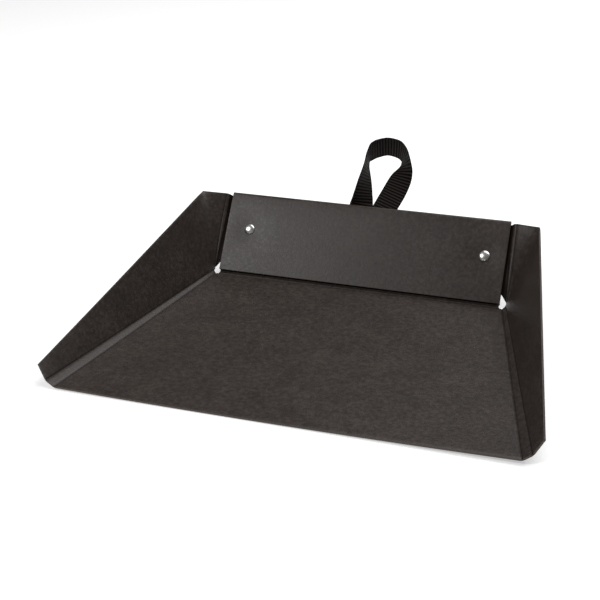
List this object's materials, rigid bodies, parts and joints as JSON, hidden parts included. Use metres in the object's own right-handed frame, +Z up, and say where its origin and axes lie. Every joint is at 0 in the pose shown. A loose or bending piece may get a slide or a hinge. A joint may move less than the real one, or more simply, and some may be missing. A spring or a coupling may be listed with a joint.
{
  "type": "dustpan",
  "caption": "Folded board dustpan with a wide front edge, sloping side walls, a riveted double back wall and a webbing hanging loop.",
  "frame": {"origin": "centre of the base panel on its underside, midway between the front edge and the back crease", "axes": "+X across the pan to the right seen from the front, +Y towards the back wall, +Z up"},
  "size_m": [0.3406, 0.2956, 0.1081],
  "materials": {
    "black_board": "black pressed leather-fibre board with a fine mottled grain and a slight sheen",
    "black_webbing": "ribbed black webbing",
    "nickel": "polished nickel plate"
  },
  "bodies": {
    "pan": {"base_panel": "black_board", "left_side_wall": "black_board", "right_side_wall": "black_board", "left_corner_tab": "black_board", "right_corner_tab": "black_board", "outer_back_wall": "black_board", "inner_back_flap": "black_board", "left_rivet_post": "nickel", "left_rivet_cap": "nickel", "right_rivet_post": "nickel", "right_rivet_cap": "nickel", "loop_rivet_post": "nickel", "loop_rivet_cap": "nickel", "strap_ends": "black_webbing"},
    "loop": {"webbing_loop": "black_webbing"}
  },
  "joints": [
    {"name": "loop_flex", "type": "hinge", "parent": "pan", "child": "loop", "pos_m": [0.0075, 0.15307, 0.05698], "axis": [1, 0, 0], "range_deg": [-100, 60], "stiffness_Nm_per_rad": 0.03}
  ]
}
